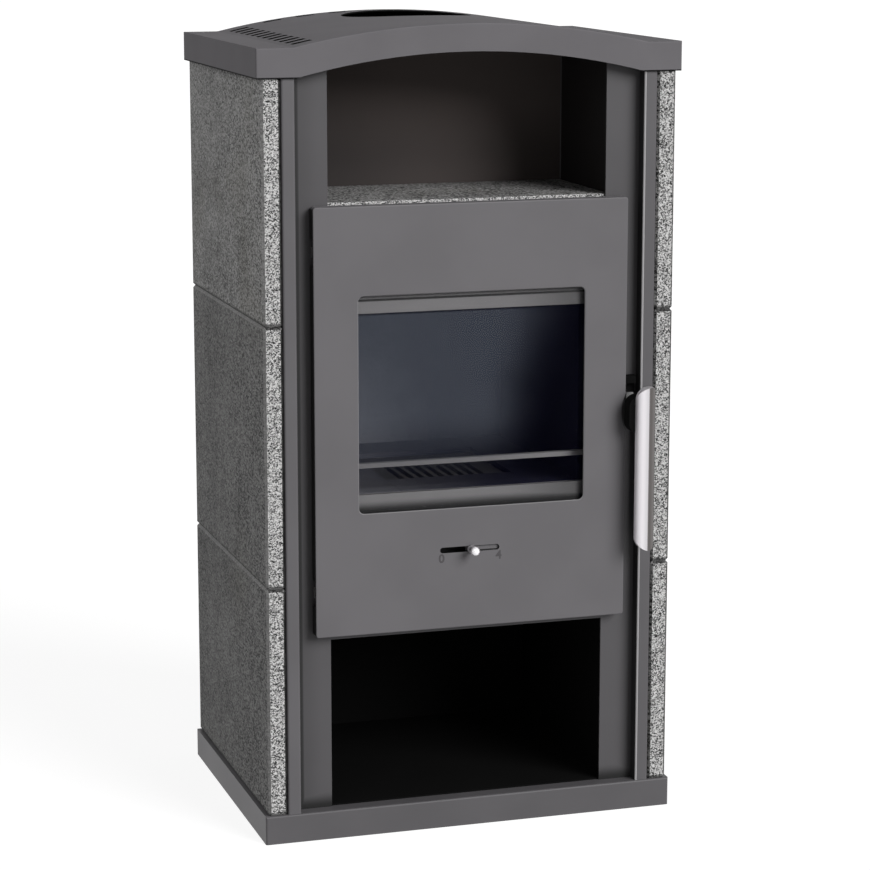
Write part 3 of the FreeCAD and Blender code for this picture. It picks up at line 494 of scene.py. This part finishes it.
def blend(value, ends):
    """From the first end to the second as the value goes from 0 to 1."""
    return ends[0] + (ends[1] - ends[0]) * value


def waver(noise, reach):
    """An uneven offset, by up to half the reach either way."""
    return reach * (noise - 0.5)


def painted_steel(name, shade, roughness=paint_rough, dark=None, pale=None, gloss=paint_gloss):
    """Satin heat-proof paint: a fine grain and slightly uneven gloss, with painted shade where a dark mask
    is given, which on the door's frame also holds soot on its back, and a painted highlight where a pale
    mask is given.
    """
    finish = new_finish(name)
    cloud = finish.noise(**paint_cloud)
    ground = finish.toned(finish.past(cloud, noise_range), shade, paint_tones)
    if dark:
        ground = finish.mix(dark(finish), ground, soot_and_shade_black)
    if pale:
        ground = finish.mix(pale(finish), ground, highlight_grey)
    return finish.surface(
        base_color=ground,
        roughness=roughness + waver(cloud, paint_waver),
        specular_ior_level=gloss,
        normal=finish.bump(finish.noise(**paint_grain), *paint_relief),
    )


def cover_painted_shade(finish):
    """Paints shade on the cover's underside and inner walls, a shadow along its lower edge, and a little
    shade on its top.
    """
    upward = finish.facing("Z")
    upright = finish.before(abs(upward), roughly_facing)
    outer = finish.either(finish.past(abs(finish.along("X")), cover_sides),
                          finish.past(abs(finish.along("Y")), cover_ends))
    underside = finish.past(-upward, roughly_facing)
    edge_shadow = finish.before(finish.along("Z"), cover_edge_shadow)
    top_shade = finish.past(upward, squarely_facing) * cover_top_shade
    return finish.either(upright * (1.0 - outer), underside, edge_shadow, top_shade)


def door_painted_shade(finish):
    """Paints shade on the door's back, its two sides and the walls of its window, air slot and handle notch.
    """
    across = finish.before(abs(finish.facing("Y")), roughly_facing)
    ends = finish.past(abs(finish.along("Z") - door_middle), door_ends)
    return finish.either(across * (1.0 - ends), finish.past(finish.facing("Y"), roughly_facing))


def window_edge_highlight(finish):
    """Paints a highlight on the bevel round the window."""
    bevel = finish.within(abs(finish.facing("Y")), bevel_rise, bevel_fall)
    return bevel * finish.before(abs(finish.along("X")), window_reach) * window_bevel_highlight


def panel_painted_shade(finish):
    """Paints shade in the corners where the front panel meets the posts and the plinth."""
    leftward = -finish.along("X")
    corner = finish.past(leftward, left_post_shadow) * left_post_shadow_depth
    left = finish.past(leftward, left_shade) * left_shade_depth
    right = finish.past(finish.along("X"), right_shade) * right_shade_depth
    foot = finish.before(finish.along("Z"), foot_shadow) * foot_shadow_depth
    return finish.either(corner, left, right, foot)


def post_wall_shade(finish):
    """Paints shade on the walls of the posts that face the door."""
    return finish.past(-finish.outward(), post_wall) * post_wall_shade_depth


def fold_highlight(finish):
    """Paints a highlight on the fold of the right post that faces the door."""
    across = finish.past(-finish.facing("X"), fold_highlight_across)
    return across * finish.past(-finish.facing("Y"), fold_highlight_forward)


def slot_level():
    """Height of the air slot's middle."""
    low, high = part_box("air_slide_plate")
    return (low.z + high.z) / 2


def slide_edge_shade(finish):
    """Paints shade on the edges of the slot's strip of the slide."""
    return finish.past(abs(finish.along("Z") - slot_level()), slide_shadow_rim)


def frame_shade_and_soot(finish):
    """Paints shade on the frame below and above the glass and on the right, and darkens its back with soot.
    """
    low = finish.before(finish.along("Z"), frame_low_shade)
    high = finish.before(abs(finish.along("Z") - frame_high_shade_line), frame_high_shade)
    right = finish.past(finish.along("X"), frame_right_shade) * frame_right_shade_depth
    front = finish.past(-finish.facing("Y"), roughly_facing)
    return finish.either(low, high, right) * front + back_soot_depth * (1.0 - front)


def niche_steel():
    """Black walls with a little brown, whose back is painted browner and lighter towards the top and the
    right as painted light, with a painted highlight on its far right seam.
    """
    finish = new_finish("niche_steel")
    cloud = finish.noise(**niche_cloud)
    on_back = finish.past(-finish.facing("Y"), squarely_facing)
    upward = finish.past(finish.along("Z") + waver(cloud, brown_waver), brown_height)
    rightward = finish.past(finish.along("X"), brown_side)
    brown_and_light = brown_walls + (brown_back + brown_light_by_height * upward + brown_light_by_side * rightward) * on_back
    seam_highlight = finish.past(finish.along("X"), niche_seam_highlight) * on_back
    return finish.surface(
        base_color=finish.mix(seam_highlight, finish.mix(brown_and_light, matt_black, niche_brown), paint_grey),
        roughness=blend(cloud, niche_rough),
        specular_ior_level=niche_gloss,
        normal=finish.bump(finish.noise(**paint_grain), *paint_relief),
    )


def soapstone(name, honed, tone, block=None):
    """Honed on the broad faces, sawn with a pale speckle on the edges, with painted shade on its hidden
    faces.
    """
    finish = new_finish(name)
    axis, turn = honed
    on_face = finish.past(abs(finish.facing(axis)), turn)
    grain = stone_grain(finish)
    sawn = finish.past(finish.grains(edge_grain), edge_range)
    ground = finish.mix(on_face, finish.mix(sawn, sawn_dark, sawn_pale), stone_face(finish, grain, tone))
    if block:
        # Pale bevels, partly wear and partly painted highlight, and painted shade on the other bevels and
        # above the joints
        wear_and_highlight, shaded = block_edges(finish, block)
        ground = finish.mix(wear_and_highlight, ground, wear_and_highlight_stone)
        ground = finish.mix(shaded, ground, soot_and_shade_black)
    hidden_shade = finish.past(-finish.outward(), stone_back_shade)
    relief = sawn * (1.0 - on_face) + face_relief * grain * on_face
    return finish.surface(
        base_color=finish.mix(hidden_shade, ground, soot_and_shade_black),
        roughness=blend(on_face, stone_rough),
        specular_ior_level=stone_gloss,
        normal=finish.bump(relief, *stone_relief),
    )


def stone_grain(finish):
    """Coarse grains, stretched along the block, with finer ones among them."""
    coarse = finish.grains(coarse_grain, finish.stretched(grain_shape))
    return coarse_share * coarse + (1.0 - coarse_share) * finish.grains(fine_grain)


def stone_face(finish, grain, tone):
    """Colour of a honed face: grains in uneven patches, mossy clouds, thin veins and small pits."""
    patches = finish.noise(**stone_patches)
    contrast = blend(finish.past(finish.along("Y"), contrast_fade), face_contrast)
    speckle = 0.5 + (grain - 0.5) * contrast + waver(patches, patch_depth)
    moss = finish.past(finish.noise(**stone_clouds), moss_range)
    streak = finish.waves(vein_scale, vein_bend, vein_slope, "SAW")
    vein = finish.before(abs(streak - 0.5), vein_width) * finish.past(patches, vein_patches)
    pits = finish.past(finish.noise(**stone_pits), pit_range)
    ground = finish.mix(speckle, scaled(stone_dark, tone), scaled(stone_pale, tone))
    ground = finish.mix(moss * moss_depth, ground, scaled(stone_moss, tone))
    ground = finish.mix(vein * vein_depth, ground, scaled(stone_vein, tone))
    return finish.mix(pits * pit_depth, ground, soot_and_shade_black)


def block_edges(finish, block):
    """Pale bevels, partly worn and partly a painted highlight, and bevels with painted shade: one of each
    where two blocks meet, and along the front corners; and a painted shadow just above each block's foot.
    """
    joint = finish.before(finish.along("Z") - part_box(block)[0].z, joint_shade)
    forward = -finish.facing("Y")
    on_side = finish.past(abs(finish.facing("X")), bevel_side)
    on_front = finish.past(forward, bevel_side)
    slope = finish.facing("Z") * (on_side - on_front)
    corner = finish.within(forward, corner_rise, corner_fall)
    outer = corner * finish.past(finish.outward(), corner_place)
    inner = corner * finish.past(-finish.outward(), corner_place)
    on_left = finish.past(-finish.along("X"), left_half)
    pale_bevel_highlight = finish.past(slope, bevel_slope) * (stone_bevel_highlight + left_stone_bevel_highlight * on_left)
    wear_and_highlight = finish.either(pale_bevel_highlight, outer * on_left * left_corner_highlight)
    shaded = finish.either(inner * on_left, outer * (1.0 - on_left) * right_corner_shade,
                           finish.past(-slope, bevel_slope))
    return wear_and_highlight, finish.either(shaded * bevel_shade, joint * joint_depth * (1.0 - wear_and_highlight))


def vermiculite(name, dark_reach):
    """Pressed boards, mottled, and darker towards the right."""
    finish = new_finish(name)
    flakes = finish.noise(**brick_flakes)
    cloud = finish.noise(**brick_cloud)
    ground = finish.toned(finish.past(flakes, noise_range), brick_pale, brick_tones)
    darkening = finish.past(finish.along("X") + waver(cloud, darkening_waver), dark_reach)
    return finish.surface(
        base_color=finish.mix(darkening, ground, brick_dark),
        roughness=brick_rough,
        specular_ior_level=brick_gloss,
        normal=finish.bump(flakes, *brick_relief),
    )


def cast_iron():
    """Black and porous, with a little rust."""
    finish = new_finish("cast_iron")
    pores = finish.noise(**iron_pores)
    rust = finish.past(finish.noise(**rust_patches), rust_range) * rust_depth
    return finish.surface(
        base_color=finish.mix(rust, iron_black, iron_rust),
        roughness=blend(pores, iron_rough),
        metallic=iron_metallic,
        normal=finish.bump(pores, *iron_relief),
    )


def plated_steel():
    """Plated screws and pins, cloudy with handling."""
    finish = new_finish("plated_steel")
    cloud = finish.noise(**plate_cloud)
    return finish.surface(
        base_color=finish.mix(cloud, plate_dull, plate_bright),
        metallic=plate_metallic,
        roughness=blend(cloud, plate_rough),
    )


def satin_metal():
    """Brushed along the bar's length, with a dull brown flank on the side away from the door, and painted
    lighter where its face turns left and darker where it turns right.
    """
    finish = new_finish("satin_metal")
    streak = finish.noise(**bar_brushing, place=finish.stretched(brushing_shape))
    flank = finish.past(finish.facing("X"), bar_flank)
    # Painted light: the face is lighter where it turns to the left and darker where it turns to the right
    turned = finish.past(finish.facing("X"), bar_light_turn) + waver(streak, brushing_waver)
    return finish.surface(
        base_color=finish.mix(flank, finish.toned(turned, satin_shade, bar_light_tones), satin_flank),
        metallic=bar_metallic,
        roughness=blend(streak, bar_rough),
        normal=finish.bump(streak, *bar_relief),
    )


def ball_metal():
    """Polished ball on a dull stem and collar."""
    finish = new_finish("ball_metal")
    cloud = finish.noise(**ball_cloud)
    on_stem = finish.past(finish.along("Y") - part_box("air_knob")[0].y, knob_stem)
    bright = finish.toned(cloud, satin_shade, ball_tones)
    return finish.surface(
        base_color=finish.mix(on_stem, bright, scaled(paint_grey, stem_tone)),
        metallic=ball_metallic,
        roughness=blend(cloud, ball_rough),
    )


def rope_seal():
    """Knitted rope: two crossing sets of strands."""
    finish = new_finish("rope_seal")
    first, second = [finish.waves(strand_scale, strand_bend, shape) for shape in strand_shapes]
    strands = first * second
    return finish.surface(
        base_color=finish.mix(strands, rope_dark, rope_pale),
        roughness=rope_rough,
        specular_ior_level=rope_gloss,
        normal=finish.bump(strands, *rope_relief),
    )


def window_glass():
    """Clear heat-proof glass with a painted blue-grey reflection over its left part, where the glass is also
    less clear.
    """
    finish = new_finish("window_glass")
    haze = finish.noise(**glass_haze)
    level = finish.along("Z")
    reach = finish.along("X") - reflection_lean * (level - door_middle) + waver(haze, reflection_waver)
    reflection = finish.before(reach, reflection_reach) * finish.within(level, reflection_rise, reflection_fall)
    return finish.surface(
        base_color=finish.mix(reflection, glass_clear, glass_reflection),
        roughness=blend(haze, glass_rough),
        alpha=blend(reflection, glass_alpha),
        specular_ior_level=glass_gloss,
    )


def printed_figure():
    """Dark print, a little faded."""
    finish = new_finish("printed_figure")
    wear = finish.noise(**ink_wear)
    return finish.surface(
        base_color=finish.mix(wear, ink_dark, ink_faded),
        roughness=blend(wear, ink_rough),
        specular_ior_level=ink_gloss,
    )


def dress(material, *names):
    """Gives a finish to the frame's own nodes."""
    for name in names:
        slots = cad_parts[name].data.materials
        slots.clear()
        slots.append(material)


def dress_casing():
    """Painted sheets outside, the niche, and the black and plated pieces behind."""
    dress(painted_steel("painted_steel", paint_grey), "rear_panel")
    # The plinth, panel, posts and cover share one paint; their tones paint shade on it, and light on the
    # cover
    dress(painted_steel("plinth_steel", scaled(paint_grey, plinth_shade_tone)), "base_plinth")
    dress(painted_steel("panel_steel", scaled(paint_grey, panel_shade_tone), dark=panel_painted_shade), "front_panel")
    dress(painted_steel("left_side_steel", scaled(paint_grey, left_side_shade_tone), dark=post_wall_shade),
          "left_side_panel")
    dress(painted_steel("right_side_steel", scaled(paint_grey, right_side_shade_tone), dark=post_wall_shade,
                        pale=fold_highlight), "right_side_panel")
    dress(painted_steel("cover_steel", scaled(paint_grey, cover_light_tone), cover_rough, dark=cover_painted_shade,
                        gloss=cover_gloss), "top_cover")
    dress(niche_steel(), "niche_liner")
    dress(painted_steel("black_steel", matt_black, matt_rough), "niche_ceiling", "niche_shelf_plate",
          "heat_shield", "shield_spacers", "lower_hinge_bracket", "upper_hinge_bracket", "ash_pan",
          "ash_pan_rails", "flue_duct")
    dress(plated_steel(), "rear_screws", "stone_keys", "door_hinge_eyes", "frame_screws", "latch_bushing",
          "air_slide_guides", "handle_shaft", "latch_cam")


def dress_stone():
    """Three rows of cladding and the niche's slab."""
    for row, tone in row_tones.items():
        stone = soapstone("cladding_" + row, honed_sides, tone, "left_stone_" + row)
        dress(stone, "left_stone_" + row, "right_stone_" + row)
    dress(soapstone("shelf_stone", honed_top, shelf_tone), "niche_stone_slab")


def dress_firebox():
    """Boards, grate and bare sheets of the firebox, and the other sooty pieces."""
    dress(vermiculite("rear_boards", rear_darkening), "rear_firebrick")
    dress(vermiculite("side_boards", side_darkening), "left_firebrick", "right_firebrick", "baffle_plate")
    dress(vermiculite("hearth_boards", hearth_darkening), "hearth_bricks")
    dress(cast_iron(), "fire_grate", "flue_collar")
    dress(painted_steel("guard_steel", frame_grey, frame_rough), "log_guard", "ember_lip")
    dress(painted_steel("sooty_steel", soot_and_shade_black, soot_rough, gloss=soot_gloss), "wood_store_floor",
          "wood_store_liner", "right_firebox_wall", "left_firebox_wall", "firebox_back_wall",
          "firebox_bottom", "firebox_top", "hearth_plate", "handle_hub", "latch_keeper")


def dress_door():
    """Door with its window, air slide and handle."""
    dress(painted_steel("door_steel", paint_grey, dark=door_painted_shade, pale=window_edge_highlight), "door_front_plate")
    dress(painted_steel("slide_steel", paint_grey, dark=slide_edge_shade), "air_slide_plate")
    dress(painted_steel("frame_steel", frame_grey, frame_rough, dark=frame_shade_and_soot), "door_inner_frame")
    dress(window_glass(), "window_glass")
    dress(rope_seal(), "glass_gasket", "door_gasket")
    dress(satin_metal(), "handle_bar")
    dress(ball_metal(), "air_knob")


def new_piece(name, mesh, material, body):
    """Puts a finished mesh in the scene at the origin, riding on a body."""
    mesh.materials.clear()
    mesh.materials.append(material)
    piece = bpy.data.objects.new(name, mesh)
    bpy.context.scene.collection.objects.link(piece)
    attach(piece, body)
    return piece


def closed_mesh(name, shape):
    """Merges doubles, turns the faces outwards and keeps the shape as a mesh."""
    bmesh.ops.remove_doubles(shape, verts=shape.verts, dist=merge_gap)
    bmesh.ops.recalc_face_normals(shape, faces=shape.faces)
    mesh = bpy.data.meshes.new(name)
    shape.to_mesh(mesh)
    shape.free()
    return mesh


def add_figure(sign, x, material):
    """A plain number printed on the door under the air slot."""
    curve = bpy.data.curves.new("figure", "FONT")
    curve.body = sign
    curve.size = figure_height / digit_share
    curve.offset = figure_weight
    curve.extrude = figure_relief
    curve.align_x = "CENTER"
    holder = bpy.data.objects.new("figure", curve)
    mesh = bpy.data.meshes.new_from_object(holder)
    bpy.data.objects.remove(holder)
    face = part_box("door_front_plate")[0].y
    place = Matrix.Translation((x, face, slot_level() - figure_drop))
    mesh.transform(place @ Matrix.Rotation(quarter_turn, 4, "X"))
    new_piece("air_figure_" + sign, mesh, material, "door")


def pull(shape, edges, move):
    """Draws a wall out of open edges, and gives its far edges."""
    grown = bmesh.ops.extrude_edge_only(shape, edges=edges)["geom"]
    points = [part for part in grown if isinstance(part, bmesh.types.BMVert)]
    bmesh.ops.translate(shape, verts=points, vec=move)
    return [part for part in grown if isinstance(part, bmesh.types.BMEdge)
            and all(point in points for point in part.verts)]


def rope_bend(shape, edges, centre):
    """Carries the open end of a rope round a quarter turn about Y, and gives the new end."""
    turned = bmesh.ops.spin(shape, geom=edges, cent=centre, axis=(0, -1, 0), angle=quarter_turn,
                            steps=seal_steps, use_duplicate=False)
    return [part for part in turned["geom_last"] if isinstance(part, bmesh.types.BMEdge)]


def add_door_seal(material):
    """Round rope pressed into the seal's place behind the door."""
    low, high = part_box("door_gasket")
    middle = (low + high) / 2
    half_z = (high.z - low.z) / 2 - seal_width / 2
    straight_x = (high.x - low.x) / 2 - seal_width / 2 - seal_corner
    straight_z = half_z - seal_corner
    shape = bmesh.new()
    ring = bmesh.ops.create_circle(shape, segments=seal_sides, radius=seal_width / 2)["verts"]
    bmesh.ops.scale(shape, verts=ring, vec=(1, (high.y - low.y) / seal_width, 1))
    bmesh.ops.rotate(shape, verts=ring, matrix=Matrix.Rotation(quarter_turn, 3, "Y"))
    bmesh.ops.translate(shape, verts=ring, vec=middle + Vector((-straight_x, 0, -half_z)))
    corners = ((1, -1), (1, 1), (-1, 1), (-1, -1))
    centres = [middle + Vector((x * straight_x, 0, z * straight_z)) for x, z in corners]
    end = list(shape.edges)
    for start, centre in zip(centres[-1:] + centres, centres):
        end = pull(shape, end, centre - start)
        end = rope_bend(shape, end, centre)
    mesh = closed_mesh("door_rope", shape)
    mesh.shade_smooth()
    piece = new_piece("door_rope", mesh, material, "door")
    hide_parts("door_gasket")


def add_shield_fold(material):
    """Folded strip that closes the top of the gap between the heat shield and the rear panel."""
    low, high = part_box("heat_shield")
    panel_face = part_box("rear_panel")[0].y
    corners = ((high.y, high.z - fold_drop), (high.y, high.z), (panel_face - fold_gap, high.z))
    shape = bmesh.new()
    points = [shape.verts.new((low.x, y, z)) for y, z in corners]
    edges = [shape.edges.new(pair) for pair in zip(points, points[1:])]
    pull(shape, edges, (high.x - low.x, 0, 0))
    bmesh.ops.recalc_face_normals(shape, faces=shape.faces)
    bmesh.ops.solidify(shape, geom=list(shape.faces), thickness=fold_sheet)
    new_piece("shield_fold", closed_mesh("shield_fold", shape), material, "casing")


def add_fittings():
    """The pieces that the frame doesn't have: figures, rope and folded strip."""
    ink = printed_figure()
    for sign, x in figure_places.items():
        add_figure(sign, x, ink)
    add_door_seal(rope_seal())
    add_shield_fold(painted_steel("fold_steel", matt_black, matt_rough))


def add_camera():
    data = bpy.data.cameras.new("camera")
    data.lens = camera_lens
    camera = bpy.data.objects.new("camera", data)
    camera.location = camera_place
    camera.rotation_euler = (math.radians(90 - camera_tilt), 0.0, math.radians(-camera_turn))
    bpy.context.scene.collection.objects.link(camera)
    bpy.context.scene.camera = camera


def add_sun(name, strength, turn, height, spread):
    """Broad soft light, from straight in front where turn is 0, and further to the left as it grows."""
    data = bpy.data.lights.new(name, "SUN")
    data.energy = strength
    data.angle = math.radians(spread)
    lamp = bpy.data.objects.new(name, data)
    lamp.rotation_euler = (math.radians(90 - height), 0.0, math.radians(-turn))
    bpy.context.scene.collection.objects.link(lamp)


def add_world():
    """Even light from all round, and a white surround for the camera, for gloss and for glass."""
    sky = Finish(bpy.data.worlds.new("studio"))
    level = blend(sky.in_view(), (ambient_level, 1.0))
    light = sky.node("ShaderNodeBackground", None, {"Color": colour(surround_white), "Strength": level})
    sky.node("ShaderNodeOutputWorld", None, {"Surface": light})
    bpy.context.scene.world = sky.owner


def add_floor():
    """Wide pale floor that keeps the stove's shadow."""
    shape = bmesh.new()
    bmesh.ops.create_circle(shape, cap_ends=True, segments=floor_sides, radius=floor_reach)
    mesh = bpy.data.meshes.new("floor")
    shape.to_mesh(mesh)
    shape.free()
    finish = new_finish("floor")
    mesh.materials.append(finish.surface(
        base_color=floor_shade,
        roughness=floor_rough,
        specular_ior_level=floor_gloss,
        emission_color=finish.mix(finish.in_view(), no_glow, floor_glow),
        emission_strength=1.0,
    ))
    floor = bpy.data.objects.new("floor", mesh)
    bpy.context.scene.collection.objects.link(floor)


dress_casing()
dress_stone()
dress_firebox()
dress_door()
add_fittings()
add_camera()
for light_name, light in lights.items():
    add_sun(light_name, **light)
add_world()
add_floor()
bpy.context.scene.view_settings.view_transform = "Standard"
